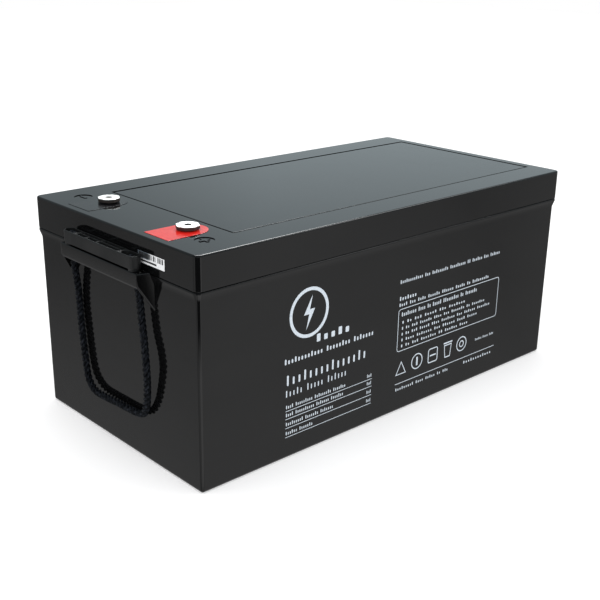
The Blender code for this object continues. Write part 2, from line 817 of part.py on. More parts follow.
container()
lid()
cover_plate()
lid_seal()
for polarity, place, tag_material in (
    ("negative", TERMINAL_Y, TAG_BLACK),
    ("positive", -TERMINAL_Y, TAG_RED),
):
    terminal(polarity, place)
    terminal_seal(f"{polarity}_terminal", place)
    polarity_tag(f"{polarity}_tag", place, tag_material)
sticker()
handle("left", 1)
handle("right", -1)
for index in range(CELLS):
    cell(index)
for index in range(CELLS - 1):
    insulator(index)
    busbar(index)
end_plate("front_end_plate", -1)
end_plate("rear_end_plate", 1)
strap("lower_strap", 0.045)
strap("upper_strap", 0.120)
foam_blocks()
management_system()
cables()
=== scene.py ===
"""Looks for the deep cycle battery: glossy moulded case, plated terminals, rope handles and printing.

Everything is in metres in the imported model's frame: X along the long sides with the terminals
at -X, Y across, Z up, and the origin at the centre of the base.
"""

import json
import math

import bmesh
import bpy
from mathutils import Matrix, Quaternion, Vector


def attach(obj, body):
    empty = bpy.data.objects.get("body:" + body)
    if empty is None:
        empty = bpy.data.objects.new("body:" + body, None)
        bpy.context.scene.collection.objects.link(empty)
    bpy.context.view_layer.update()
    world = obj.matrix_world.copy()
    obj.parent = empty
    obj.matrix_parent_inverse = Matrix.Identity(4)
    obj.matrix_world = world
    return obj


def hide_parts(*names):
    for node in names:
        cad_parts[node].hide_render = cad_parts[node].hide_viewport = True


# Camera.
CAMERA_PLACE = (-0.72417, -0.76160, 0.46754)
CAMERA_AZIMUTH = -42.761
CAMERA_DOWN = 19.795
CAMERA_ROLL = 0.869
CAMERA_LENS = 59.465

# Case, as in the CAD source.
LENGTH = 0.522
WIDTH = 0.270
LID_TOP = 0.225
SEAM = 0.1925
WALL = 0.0035
CORNER = 0.006
GAP = 0.0003
RIM_INSET = 0.0025
RIM_BAND = 0.0095
DRAFT = 0.0005
BASE_FILLET = 0.003
FLOOR = 0.004
TONGUE = 0.0025
TONGUE_HEIGHT = 0.006
LID_FILLET = 0.0018
LID_PLATE = 0.005
SEAL_ROOM = 0.0085
COVER_LENGTH = 0.438
COVER_WIDTH = 0.195
COVER_FROM_END = 0.0695
COVER_RECESS = 0.0022
COVER_GROOVE = 0.0024
COVER_DROP = 0.0003
MARK_X = -0.226
MARK_Y = 0.100
MARK_RADIUS = 0.0092
MARK_DEPTH = 0.0007

# Terminals.
TERMINAL_X = -0.218
TERMINAL_Y = 0.065
TERMINAL_TOP = 0.230
FLANGE_RADIUS = 0.0113
FLANGE_TURN = math.radians(39)
FLANGE_HEIGHT = 0.0036
SHANK_RADIUS = 0.007
SHANK_BOTTOM = LID_TOP - 0.014
THREAD_RADIUS = 0.0034
THREAD_PITCH = 0.00125
THREAD_DEPTH = 0.013
TAG_HALF_WIDTH = 0.0185
TAG_REACH = 0.0345
TAG_SHEET = 0.0003

# Rope handles.
HANDLE_X = -0.2663
HANDLE_OFFSET = 0.0012
LEDGE_TOP = 0.1942
LEDGE_FRONT = -0.2735
LEDGE_PLATE = 0.0030
LEDGE_WALL = 0.0016
APRON_BOTTOM = 0.1828
GUSSET_BOTTOM = 0.1573
LEDGE_HALF_LENGTH = 0.065
LEDGE_FLARE = 0.0054
ROPE_RADIUS = 0.00375
ROPE_STRANDS = 3
ROPE_LAY = 0.016
ROPE_HALF_SPREAD = 0.054
ROPE_HOLE_Y = ROPE_HALF_SPREAD + 0.0025
ROPE_HOLE_HALF_X = 0.0052
ROPE_HOLE_HALF_Y = 0.0068
GRIP_HALF_LENGTH = 0.0602
GRIP_DEPTH = 0.0118
GRIP_CENTRE = -0.0018
GRIP_HEIGHT = 0.0126
GRIP_LIFT = 0.0019
GRIP_HOLE_X = -0.0012
GRIP_HOLE_RADIUS = 0.0043
POCKET_Y = 0.0485
POCKET_HALF_X = 0.0048
POCKET_HALF_Y = 0.0098
POCKET_FLOOR = 0.0042
SLOT_SPREAD = 0.0026
SLOT_HALF_X = 0.0020
# Slots in the grip's two rows: row (-1 outer, 1 inner), place along it and half length.
SLOTS = [
    (-1, 0.0270, 0.0080),
    (-1, 0.0096, 0.0078),
    (-1, -0.0184, 0.0166),
    (1, 0.0184, 0.0166),
    (1, -0.0184, 0.0166),
]
KNOT_Y = 0.0505
ROPE_ROUTE = [
    (-0.0012, 0.0540, 0.0058),
    (-0.0011, 0.0540, 0.0030),
    (-0.0008, 0.0540, -0.0002),
    (0.0000, 0.0540, -0.0080),
    (0.0009, 0.0544, -0.0270),
    (0.0022, 0.0548, -0.0370),
    (0.0032, 0.0551, -0.0470),
    (0.0037, 0.0552, -0.0580),
    (0.0038, 0.0548, -0.0740),
    (0.0037, 0.0532, -0.0930),
    (0.0037, 0.0512, -0.1120),
    (0.0034, 0.0485, -0.1290),
    (0.0028, 0.0435, -0.1405),
    (0.0024, 0.0318, -0.1480),
    (0.0028, 0.0113, -0.1485),
    (0.0035, -0.0081, -0.1475),
    (0.0037, -0.0248, -0.1470),
    (0.0036, -0.0415, -0.1455),
    (0.0030, -0.0528, -0.1412),
    (0.0015, -0.0597, -0.1298),
    (0.0004, -0.0630, -0.1175),
    (-0.0006, -0.0651, -0.1040),
    (-0.0012, -0.0657, -0.0930),
    (-0.0008, -0.0641, -0.0780),
    (0.0003, -0.0614, -0.0640),
    (0.0006, -0.0590, -0.0490),
    (0.0006, -0.0568, -0.0290),
    (0.0000, -0.0545, -0.0080),
    (-0.0008, -0.0540, -0.0002),
    (-0.0011, -0.0540, 0.0030),
    (-0.0012, -0.0540, 0.0058),
]

# Label. Corners are (y, z). From the crowded mark on, bars are thick and the gaps thin, and the paper is
# overlaid grey over the upper part of that end: both are painted shade where the grip shades the label.
LABEL_LOW = (-0.0892, 0.2006)
LABEL_HIGH = (-0.0490, 0.2112)
LABEL_INK = 0.00004
LABEL_SHADE_FROM = (-0.0700, -0.0640)
LABEL_SHADE_ABOVE = (0.2046, 0.2052)
LABEL_CROWDED_FROM = -0.0675
BAR_UNIT = 0.00095
BAR_WIDTHS = (2, 1, 1, 1, 2, 2, 1, 1, 3, 1, 1)

# Studio. Levels are radiances. The open side is in degrees, and other angles are in radians.
# A fall or a rim is two factors and the range that they're reached over.
# The sweep is the floor's painted glow, seen only in reflections: dimmer at the end side as painted shade,
# dark beyond its edge, brighter at a rim.
SWEEP_OPEN_SIDE = -133.5
SWEEP_OPENING = (0.72, 0.80)
SWEEP_EDGE = (0.24, 0.36)
FRONT_SIDE_LEVEL = 0.90
END_SIDE_LEVEL = 0.49
SWEEP_DIMS = (-0.25, -0.05)
SWEEP_RECOVERS = (-3.05, -2.55)
SWEEP_FALL = (0.63, 1.33, -0.343, 0.014)
SWEEP_RIM = (1.8, 1.0, 0.95, 1.20)
FLOOR_GLOW = 0.255
BACKDROP = (0.63, 0.73, 0.77)
BACKDROP_FALL = (-0.22, -0.04, 0.68, 1.10)
BACKDROP_ACROSS = (0.734, -0.679, 0)
ROOM = (1.0, 1.0, 1.0)
# Lights: place, width, height and power. The glints show in reflections only.
OVERHEAD = ((-0.45, -0.35, 2.0), 2.2, 2.2, 14)
GLINTS = {
    "edge_glint": ((1.15, -0.60, 1.32), 0.9, 0.5, 8),
    "top_glint": ((0.80, 0.86, 1.62), 1.0, 0.8, 50),
}

# Worked out from the above.
HALF_X = LENGTH / 2
HALF_Y = WIDTH / 2
INNER_X = HALF_X - RIM_INSET - DRAFT - WALL
INNER_Y = HALF_Y - RIM_INSET - DRAFT - WALL
BOX_TOP = SEAM - GAP
COVER_CENTRE = -HALF_X + COVER_FROM_END + COVER_LENGTH / 2
PRINT_Y = -(HALF_Y - RIM_INSET) - 0.00003
PRINT_THICKNESS = 0.00006


# Camera -------------------------------------------------------------------------------------


def place_camera():
    azimuth = math.radians(CAMERA_AZIMUTH)
    down = math.radians(CAMERA_DOWN)
    forward = Vector(
        (
            -math.sin(azimuth) * math.cos(down),
            math.cos(azimuth) * math.cos(down),
            -math.sin(down),
        )
    )
    data = bpy.data.cameras.new("camera")
    data.lens = CAMERA_LENS
    data.sensor_width = 36
    data.clip_start = 0.01
    camera = bpy.data.objects.new("camera", data)
    bpy.context.scene.collection.objects.link(camera)
    camera.location = CAMERA_PLACE
    camera.rotation_mode = "QUATERNION"
    roll = Quaternion((0, 0, 1), math.radians(CAMERA_ROLL))
    camera.rotation_quaternion = forward.to_track_quat("-Z", "Y") @ roll
    bpy.context.scene.camera = camera


# Materials ----------------------------------------------------------------------------------


class Shader:
    """A small wrapper that builds one Principled material and the nodes that vary it."""

    def __init__(self, name, colour, roughness, metallic=0.0, **sockets):
        self.material = bpy.data.materials.new(name)
        self.material.use_nodes = True
        self.material.diffuse_color = (*colour, 1)
        self.tree = self.material.node_tree
        self.surface = self.tree.nodes["Principled BSDF"]
        self.set("Base Color", (*colour, 1))
        self.set("Roughness", roughness)
        self.set("Metallic", metallic)
        for socket, value in sockets.items():
            self.set(socket.replace("_", " "), value)
        self.bumps = None
        self.place = self.node("ShaderNodeTexCoord").outputs["Object"]

    def set(self, socket, value):
        self.surface.inputs[socket].default_value = value

    def node(self, kind, **settings):
        made = self.tree.nodes.new(kind)
        for name, value in settings.items():
            setattr(made, name, value)
        return made

    def link(self, source, target):
        self.tree.links.new(source, target)

    def stretched(self, scale):
        mapping = self.node("ShaderNodeMapping")
        mapping.inputs["Scale"].default_value = scale
        self.link(self.place, mapping.inputs["Vector"])
        return mapping.outputs["Vector"]

    def noise(self, scale, detail=3.0, roughness=0.55, stretch=None):
        made = self.node("ShaderNodeTexNoise")
        made.inputs["Scale"].default_value = scale
        made.inputs["Detail"].default_value = detail
        made.inputs["Roughness"].default_value = roughness
        self.link(self.stretched(stretch) if stretch else self.place, made.inputs["Vector"])
        return made.outputs["Fac"]

    def voronoi(self, scale):
        made = self.node("ShaderNodeTexVoronoi")
        made.inputs["Scale"].default_value = scale
        self.link(self.place, made.inputs["Vector"])
        return made.outputs["Distance"]

    def spread(self, value, low, high, start=0.3, end=0.7):
        """Map a varying value from start..end to low..high."""
        made = self.node("ShaderNodeMapRange")
        made.inputs["From Min"].default_value = start
        made.inputs["From Max"].default_value = end
        made.inputs["To Min"].default_value = low
        made.inputs["To Max"].default_value = high
        self.link(value, made.inputs["Value"])
        return made.outputs["Result"]

    def vary(self, socket, value, low, high, start=0.3, end=0.7):
        self.link(self.spread(value, low, high, start, end), self.surface.inputs[socket])

    def tint(self, value, first, second, start=0.35, end=0.65):
        ramp = self.node("ShaderNodeValToRGB")
        ramp.color_ramp.elements[0].position = start
        ramp.color_ramp.elements[0].color = (*first, 1)
        ramp.color_ramp.elements[1].position = end
        ramp.color_ramp.elements[1].color = (*second, 1)
        self.link(value, ramp.inputs["Fac"])
        self.link(ramp.outputs["Color"], self.surface.inputs["Base Color"])

    def axes(self):
        """The X, Y and Z of the place on the piece."""
        parts = self.node("ShaderNodeSeparateXYZ")
        self.link(self.place, parts.inputs["Vector"])
        return parts.outputs

    def overlay(self, colour, amount):
        """Mix a colour over the varying base colour, by a varying amount."""
        base = self.surface.inputs["Base Color"]
        mix = self.node("ShaderNodeMix", data_type="RGBA")
        self.link(amount, mix.inputs[0])
        self.link(base.links[0].from_socket, mix.inputs[6])
        mix.inputs[7].default_value = (*colour, 1)
        self.link(mix.outputs[2], base)

    def bump(self, value, depth):
        """Add a bump whose full height is depth, in metres."""
        made = self.node("ShaderNodeBump")
        made.inputs["Strength"].default_value = 1.0
        made.inputs["Distance"].default_value = depth
        self.link(value, made.inputs["Height"])
        if self.bumps:
            self.link(self.bumps, made.inputs["Normal"])
        self.bumps = made.outputs["Normal"]
        self.link(self.bumps, self.surface.inputs["Normal"])


def moulded_plastic(name, colour, lighter, roughness, waviness=0.00002, grain=0.000004, ior=1.40):
    """Injection-moulded plastic: slow flow marks in the gloss, faint grain and hazy handling marks."""
    made = Shader(name, colour, roughness, IOR=ior)
    flow = made.noise(9, detail=2, stretch=(1, 1, 2.5))
    made.tint(flow, colour, lighter)
    haze = made.noise(26, detail=6, roughness=0.65)
    made.vary("Roughness", haze, roughness * 0.8, roughness * 1.35)
    made.bump(made.noise(22, detail=1), waviness)
    made.bump(made.noise(1600, detail=2), grain)
    return made.material


def rope_fibre():
    """Black polypropylene, broken up into paler fibres along the strands."""
    made = Shader("rope_fibre", (0.004, 0.005, 0.006), 0.5, IOR=1.20)
    fibres = made.noise(620, detail=3, stretch=(1, 1, 0.4))
    made.tint(fibres, (0.0014, 0.0019, 0.0030), (0.019, 0.022, 0.029), start=0.48, end=0.64)
    made.vary("Roughness", made.noise(300), 0.40, 0.70)
    made.bump(fibres, 0.00015)
    return made.material


def plated_metal():
    """Bright plating on the top face, with painted shade: a dark bronze colour down the sides and in the
    thread, which are also rougher.
    """
    made = Shader("plated_brass", (0.93, 0.92, 0.90), 0.3, metallic=1.0)
    made.tint(made.noise(130, detail=4), (0.96, 0.95, 0.93), (0.84, 0.82, 0.78))
    height = made.axes()["Z"]
    shade_below = TERMINAL_TOP - 0.0008
    # Painted shade: below the top face the colour turns dark bronze.
    painted_side_shade = made.spread(height, 1, 0, shade_below, TERMINAL_TOP - 0.0001)
    made.overlay((0.115, 0.090, 0.082), painted_side_shade)
    made.vary("Roughness", height, 0.70, 0.34, shade_below, TERMINAL_TOP - 0.0003)
    made.bump(made.noise(900, detail=3), 0.000012)
    return made.material


def tag_plastic(name, colour, lighter, ior=1.48):
    """Thin moulded washers with an uneven gloss."""
    made = Shader(name, colour, 0.16, IOR=ior)
    made.tint(made.noise(160, detail=4), colour, lighter)
    made.vary("Roughness", made.noise(90, detail=4), 0.10, 0.26)
    made.bump(made.noise(600, detail=2), 0.000010)
    return made.material


def paper():
    """Coated white paper, with painted shade: a grey overlay behind the first bars, where the grip shades
    the label.
    """
    made = Shader("label_paper", (0.85, 0.86, 0.87), 0.3)
    made.tint(made.noise(500, detail=5), (0.80, 0.81, 0.83), (0.90, 0.91, 0.92))
    axes = made.axes()
    # Painted shade: the paper turns grey in the upper part of the end nearest the grip.
    painted_field_shade = made.node("ShaderNodeMath", operation="MULTIPLY")
    made.link(made.spread(axes["Y"], 0, 1, *LABEL_SHADE_FROM), painted_field_shade.inputs[0])
    made.link(made.spread(axes["Z"], 0, 1, *LABEL_SHADE_ABOVE), painted_field_shade.inputs[1])
    made.overlay((0.09, 0.11, 0.13), painted_field_shade.outputs[0])
    made.vary("Roughness", made.noise(200), 0.22, 0.38)
    made.bump(made.noise(1800, detail=2), 0.000008)
    return made.material


def ink(name, colour, lighter):
    """Screen-printed ink: slightly uneven cover with a matt, grainy surface."""
    made = Shader(name, colour, 0.5)
    made.tint(made.noise(700, detail=5), colour, lighter)
    made.vary("Roughness", made.noise(400), 0.42, 0.62)
    made.bump(made.noise(2500, detail=2), 0.000008)
    return made.material


def rubber(name, colour, lighter):
    made = Shader(name, colour, 0.7)
    made.tint(made.noise(300, detail=5), colour, lighter)
    made.vary("Roughness", made.noise(150), 0.6, 0.85)
    made.bump(made.noise(1500, detail=3), 0.00003)
    return made.material


def sheet_metal(name, colour, lighter, stretch):
    """Rolled metal, brushed along the direction with the small stretch factor."""
    made = Shader(name, colour, 0.35, metallic=1.0)
    brushed = made.noise(600, detail=4, stretch=stretch)
    made.tint(brushed, colour, lighter)
    made.vary("Roughness", brushed, 0.25, 0.5)
    made.bump(brushed, 0.00001)
    return made.material


def cell_wrap():
    made = Shader("cell_wrap", (0.02, 0.11, 0.42), 0.3)
    made.tint(made.noise(18, detail=3), (0.015, 0.09, 0.36), (0.03, 0.14, 0.50))
    made.vary("Roughness", made.noise(60, detail=4), 0.2, 0.4)
    made.bump(made.noise(70, detail=3), 0.00008)
    return made.material


def circuit_board():
    made = Shader("circuit_board", (0.015, 0.16, 0.05), 0.4)
    made.tint(made.voronoi(260), (0.012, 0.13, 0.04), (0.03, 0.24, 0.08), start=0.2, end=0.5)
    made.vary("Roughness", made.noise(200), 0.3, 0.5)
    made.bump(made.voronoi(260), 0.00005)
    return made.material


def foam():
    made = Shader("foam", (0.06, 0.06, 0.065), 0.95)
    made.tint(made.voronoi(900), (0.03, 0.03, 0.034), (0.10, 0.10, 0.11), start=0.1, end=0.6)
    made.vary("Roughness", made.noise(100), 0.85, 1.0)
    made.bump(made.voronoi(900), 0.0004)
    return made.material


def floor_paint_and_glow():
    """A bright sweep that glows. Reflections see a painted glow in place of its paint, dimmer at the end
    side and dark beyond its edge near the camera; the camera sees its paint with an even glow added.
    """
    made = Shader("floor_paint_and_glow", (0.88, 0.88, 0.885), 0.6)
    made.tint(made.noise(3, detail=4), (0.87, 0.87, 0.875), (0.89, 0.89, 0.895))
    made.vary("Roughness", made.noise(5), 0.55, 0.7)
    made.set("IOR", 1.05)

    def maths(operation, first, second=None):
        node = made.node("ShaderNodeMath", operation=operation)
        for socket, value in zip(node.inputs, (first, second)):
            if isinstance(value, (int, float)):
                socket.default_value = value
            elif value is not None:
                made.link(value, socket)
        return node.outputs["Value"]

    mapping = made.node("ShaderNodeMapping", vector_type="TEXTURE")
    mapping.inputs["Location"].default_value = (-HALF_X, -HALF_Y, 0)
    mapping.inputs["Rotation"].default_value = (0, 0, math.radians(SWEEP_OPEN_SIDE))
    made.link(made.place, mapping.inputs["Vector"])
    parts = made.node("ShaderNodeSeparateXYZ")
    made.link(mapping.outputs["Vector"], parts.inputs["Vector"])
    away, across = parts.outputs["X"], parts.outputs["Y"]
    angle = maths("ARCTAN2", across, away)
    distance = maths("SQRT", maths("ADD", maths("MULTIPLY", away, away), maths("MULTIPLY", across, across)))
    dimmed = made.spread(angle, 0, 1, *SWEEP_DIMS)
    recovered = made.spread(angle, 1, 0, *SWEEP_RECOVERS)
    level = maths("MAXIMUM", dimmed, recovered)
    side = made.spread(level, END_SIDE_LEVEL, FRONT_SIDE_LEVEL, 0, 1)
    nearer = made.spread(away, *SWEEP_FALL)
    shown = maths("MULTIPLY", side, nearer)
    beyond = made.spread(distance, 0, 1, *SWEEP_EDGE)
    turned_away = maths("ABSOLUTE", angle)
    facing = made.spread(turned_away, 1, 0, *SWEEP_OPENING)
    outside_painted_dark = maths("SUBTRACT", 1, maths("MULTIPLY", beyond, facing))
    strength = maths("MAXIMUM", maths("MULTIPLY", shown, outside_painted_dark), 0.01)
    strength = maths("MULTIPLY", strength, made.spread(turned_away, *SWEEP_RIM))

    # Painted glow: reflections see this instead of the floor's paint.
    painted_glow = made.node("ShaderNodeEmission")
    made.link(strength, painted_glow.inputs["Strength"])
    glow = made.node("ShaderNodeEmission")
    glow.inputs["Strength"].default_value = FLOOR_GLOW
    paint = made.surface.outputs["BSDF"]
    seen = made.node("ShaderNodeAddShader")
    made.link(paint, seen.inputs[0])
    made.link(glow.outputs["Emission"], seen.inputs[1])
    ray = made.node("ShaderNodeLightPath")

    def choose(kind_of_ray, otherwise, chosen):
        mix = made.node("ShaderNodeMixShader")
        made.link(ray.outputs[kind_of_ray], mix.inputs["Fac"])
        made.link(otherwise, mix.inputs[1])
        made.link(chosen, mix.inputs[2])
        return mix.outputs["Shader"]

    by_gloss = choose("Is Glossy Ray", paint, painted_glow.outputs["Emission"])
    by_view = choose("Is Camera Ray", by_gloss, seen.outputs["Shader"])
    made.link(by_view, made.tree.nodes["Material Output"].inputs["Surface"])
    return made.material


# Shapes -------------------------------------------------------------------------------------


def rounded_outline(half_x, half_y, radius, steps):
    """Points round a rectangle with arcs at its corners, counter-clockwise."""
    points = []
    for quarter, (side_x, side_y) in enumerate(((1, 1), (-1, 1), (-1, -1), (1, -1))):
        centre = Vector((side_x * (half_x - radius), side_y * (half_y - radius)))
        for step in range(steps + 1):
            angle = math.pi / 2 * (quarter + step / steps)
            points.append(centre + radius * Vector((math.cos(angle), math.sin(angle))))
    return points


def skin(rings, steps=8, closed=False):
    """Skin rounded rectangles (half_x, half_y, radius, z), capped unless they close on themselves."""
    bm = bmesh.new()
    loops = []
    for half_x, half_y, radius, z in rings:
        outline = rounded_outline(half_x, half_y, radius, steps)
        loops.append([bm.verts.new((*point, z)) for point in outline])
    pairs = list(zip(loops, loops[1:]))
    if closed:
        pairs.append((loops[-1], loops[0]))
    else:
        bm.faces.new(loops[0])
        bm.faces.new(loops[-1])
    for lower, upper in pairs:
        for here in range(len(lower)):
            after = (here + 1) % len(lower)
            bm.faces.new((lower[here], lower[after], upper[after], upper[here]))
    return bm


def box(low, high):
    low = Vector(low)
    high = Vector(high)
    bm = bmesh.new()
    bmesh.ops.create_cube(bm, size=1)
    bmesh.ops.scale(bm, vec=high - low, verts=bm.verts)
    bmesh.ops.translate(bm, vec=(low + high) / 2, verts=bm.verts)
    return bm


def rod(centre, radius, low, high, sides=48):
    bm = bmesh.new()
    bmesh.ops.create_cone(
        bm, cap_ends=True, segments=sides, radius1=radius, radius2=radius, depth=high - low
    )
    bmesh.ops.translate(bm, vec=(*centre, (low + high) / 2), verts=bm.verts)
    return bm


def turned(profile, steps=48):
    """Turn (radius, z) points about Z. A radius of 0 closes an end on the axis."""
    bm = bmesh.new()
    points = [bm.verts.new((radius, 0, z)) for radius, z in profile]
    edges = [bm.edges.new(pair) for pair in zip(points, points[1:])]
    bmesh.ops.spin(
        bm, geom=points + edges, axis=(0, 0, 1), cent=(0, 0, 0), steps=steps, angle=2 * math.pi
    )
    bmesh.ops.remove_doubles(bm, verts=bm.verts, dist=1e-6)
    return bm


def fillet(inset_from, z_from, inset_to, z_to, steps):
    """(inset, z) pairs along a quarter ellipse that leaves along the inset and arrives along z."""
    pairs = []
    for step in range(steps + 1):
        angle = math.pi / 2 * step / steps
        inset = inset_to + (inset_from - inset_to) * (1 - math.sin(angle))
        z = z_from + (z_to - z_from) * (1 - math.cos(angle))
        pairs.append((inset, z))
    return pairs


def ring(inset, z):
    return (HALF_X - inset, HALF_Y - inset, max(CORNER - inset, 0.0015), z)


def inner_ring(z, grow=0.0):
    return (INNER_X + grow, INNER_Y + grow, 0.003, z)


def mesh_object(name, bm):
    bm.normal_update()
    bmesh.ops.recalc_face_normals(bm, faces=bm.faces)
    mesh = bpy.data.meshes.new(name)
    bm.to_mesh(mesh)
    bm.free()
    made = bpy.data.objects.new(name, mesh)
    bpy.context.scene.collection.objects.link(made)
    return made


def bevelled(bm, width, segments=3, limit=40):
    """The evaluated result of a Bevel on a mesh, back as a bmesh."""
    made = mesh_object("bevelled", bm)
    modifier = made.modifiers.new("bevel", "BEVEL")
    modifier.width = width
    modifier.segments = segments
    modifier.limit_method = "ANGLE"
    modifier.angle_limit = math.radians(limit)
    return evaluated(made)


def evaluated(made, *helpers):
    """The object's mesh with its modifiers applied, as a bmesh. The object and its helpers go."""
    bpy.context.view_layer.update()
    graph = bpy.context.evaluated_depsgraph_get()
    result = bpy.data.meshes.new_from_object(made.evaluated_get(graph))
    bm = bmesh.new()
    bm.from_mesh(result)
    for thing in (made, *helpers):
        bpy.data.objects.remove(thing, do_unlink=True)
    bpy.data.meshes.remove(result)
    return bm


def carved(bm, cuts=(), additions=()):
    """Union the additions to a mesh, then take the cuts from it."""
    made = mesh_object("carved", bm)
    helpers = []
    for shapes, operation in ((additions, "UNION"), (cuts, "DIFFERENCE")):
        for shape in shapes:
            helper = mesh_object("helper", shape)
            helpers.append(helper)
            modifier = made.modifiers.new(operation.lower(), "BOOLEAN")
            modifier.operation = operation
            modifier.solver = "EXACT"
            modifier.object = helper
    return evaluated(made, *helpers)


def piece(name, bm, material, body, stands_for=(), transform=None, sharp=35):
    """A finished piece of the object: placed, shaded smooth between sharp edges, and riding on its body."""
    if transform is not None:
        bmesh.ops.transform(bm, matrix=transform, verts=bm.verts)
    made = mesh_object(name, bm)
    mesh = made.data
    mesh.shade_smooth()
    mesh.set_sharp_from_angle(angle=math.radians(sharp))
    normals = made.modifiers.new("face_weighted_normals", "WEIGHTED_NORMAL")
    normals.keep_sharp = True
    mesh.materials.clear()
    mesh.materials.append(material)
    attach(made, body)
    if stands_for:
        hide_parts(*stands_for)
    return made


# Ropes --------------------------------------------------------------------------------------


def smooth_route(points, step):
    """Even points along the Catmull-Rom curve through the given ones."""
    knots = [Vector(point) for point in points]
    knots = [2 * knots[0] - knots[1], *knots, 2 * knots[-1] - knots[-2]]
    fine = []
    for a, b, c, d in zip(knots, knots[1:], knots[2:], knots[3:]):
        for i in range(20):
            t = i / 20
            bend = 2 * a - 5 * b + 4 * c - d
            turn = 3 * b - a - 3 * c + d
            fine.append(0.5 * (2 * b + (c - a) * t + bend * t**2 + turn * t**3))
    fine.append(knots[-2])
    lengths = [0.0]
    for before, after in zip(fine, fine[1:]):
        lengths.append(lengths[-1] + (after - before).length)
    count = max(2, round(lengths[-1] / step))
    route = []
    at = 0
    for i in range(count + 1):
        wanted = lengths[-1] * i / count
        while at < len(lengths) - 2 and lengths[at + 1] < wanted:
            at += 1
        share = (wanted - lengths[at]) / (lengths[at + 1] - lengths[at])
        route.append(fine[at].lerp(fine[at + 1], share))
    return route


def rope_section(count):
    """The outline of strands laid side by side round the middle, as (angle, radius) pairs."""
    strand = ROPE_RADIUS * 0.52
    middle = ROPE_RADIUS - strand
    section = []
    for i in range(count):
        angle = 2 * math.pi * i / count
        period = 2 * math.pi / ROPE_STRANDS
        off = (angle + period / 2) % period - period / 2
        inside = max(strand**2 - (middle * math.sin(off)) ** 2, 0)
        section.append((angle, middle * math.cos(off) + math.sqrt(inside)))
    return section


def twisted_rope(route):
    """A laid rope's surface along a route, its strands turning once in every lay length."""
    bm = bmesh.new()
    section = rope_section(36)
    side = Vector((1, 0, 0))
    travelled = 0.0
    loops = []
    for i, point in enumerate(route):
        before = route[max(i - 1, 0)]
        after = route[min(i + 1, len(route) - 1)]
        along = (after - before).normalized()
        side = (side - side.dot(along) * along).normalized()
        across = along.cross(side)
        travelled += (point - before).length
        turn = 2 * math.pi * travelled / ROPE_LAY
        loop = []
        for angle, radius in section:
            spoke = math.cos(angle + turn) * side + math.sin(angle + turn) * across
            loop.append(bm.verts.new(point + radius * spoke))
        loops.append(loop)
    for lower, upper in zip(loops, loops[1:]):
        for here in range(len(lower)):
            after = (here + 1) % len(lower)
            bm.faces.new((lower[here], lower[after], upper[after], upper[here]))
    bm.faces.new(loops[0])
    bm.faces.new(loops[-1])
    return bm


def handle_transform(side):
    """From the handle's own frame to the row frame. side is 1 at the -X end and -1 at the other."""
    turn = Matrix.Rotation(0 if side == 1 else math.pi, 4, "Z")
    return Matrix.Translation((side * HANDLE_X, side * HANDLE_OFFSET, LEDGE_TOP)) @ turn


def rope(prefix, side, material):
    to_row = handle_transform(side)
    route = [to_row @ point for point in smooth_route(ROPE_ROUTE, 0.0011)]
    body = f"{prefix}_handle"
    made = piece(
        f"{prefix}_twisted_rope",
        twisted_rope(route),
        material,
        body,
        [f"{prefix}_handle_rope"],
        sharp=80,
    )
    length = sum((after - before).length for before, after in zip(route, route[1:]))
    knots = [rope_knot(prefix, number, y, to_row, material) for number, y in ((1, 1), (2, -1))]
    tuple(route[0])


def rope_knot(prefix, number, side_y, to_row, material):
    """An overhand knot seen from above: the rope's own strand looped over itself."""
    centre = Vector((GRIP_CENTRE, side_y * KNOT_Y, GRIP_LIFT + POCKET_FLOOR + 0.0040))
    points = []
    steps = 90
    for i in range(steps + 1):
        angle = 2 * math.pi * i / steps
        x = (math.sin(angle) + 1.6 * math.sin(2 * angle)) / 2.6
        y = (math.cos(angle) - 1.6 * math.cos(2 * angle)) / 2.6
        z = -math.sin(3 * angle)
        points.append(centre + Vector((0.0025 * x, 0.0050 * y, 0.0016 * z)))
    bm = bmesh.new()
    radius = 0.0017
    loops = []
    for i in range(steps):
        along = (points[(i + 1) % steps] - points[i - 1]).normalized()
        side = along.orthogonal().normalized() if i == 0 else side
        side = (side - side.dot(along) * along).normalized()
        across = along.cross(side)
        loop = []
        for k in range(12):
            angle = 2 * math.pi * k / 12
            spoke = math.cos(angle) * side + math.sin(angle) * across
            loop.append(bm.verts.new(points[i] + radius * spoke))
        loops.append(loop)
    for i, lower in enumerate(loops[:-1]):
        upper = loops[i + 1]
        for here in range(12):
            after = (here + 1) % 12
            bm.faces.new((lower[here], lower[after], upper[after], upper[here]))
    bm.faces.new(loops[0])
    bm.faces.new(loops[-1])
    return piece(
        f"{prefix}_knot_{number}",
        bm,
        material,
        f"{prefix}_handle",
        [f"{prefix}_rope_knot_{number}"],
        transform=to_row,
        sharp=80,
    )


# Case ---------------------------------------------------------------------------------------


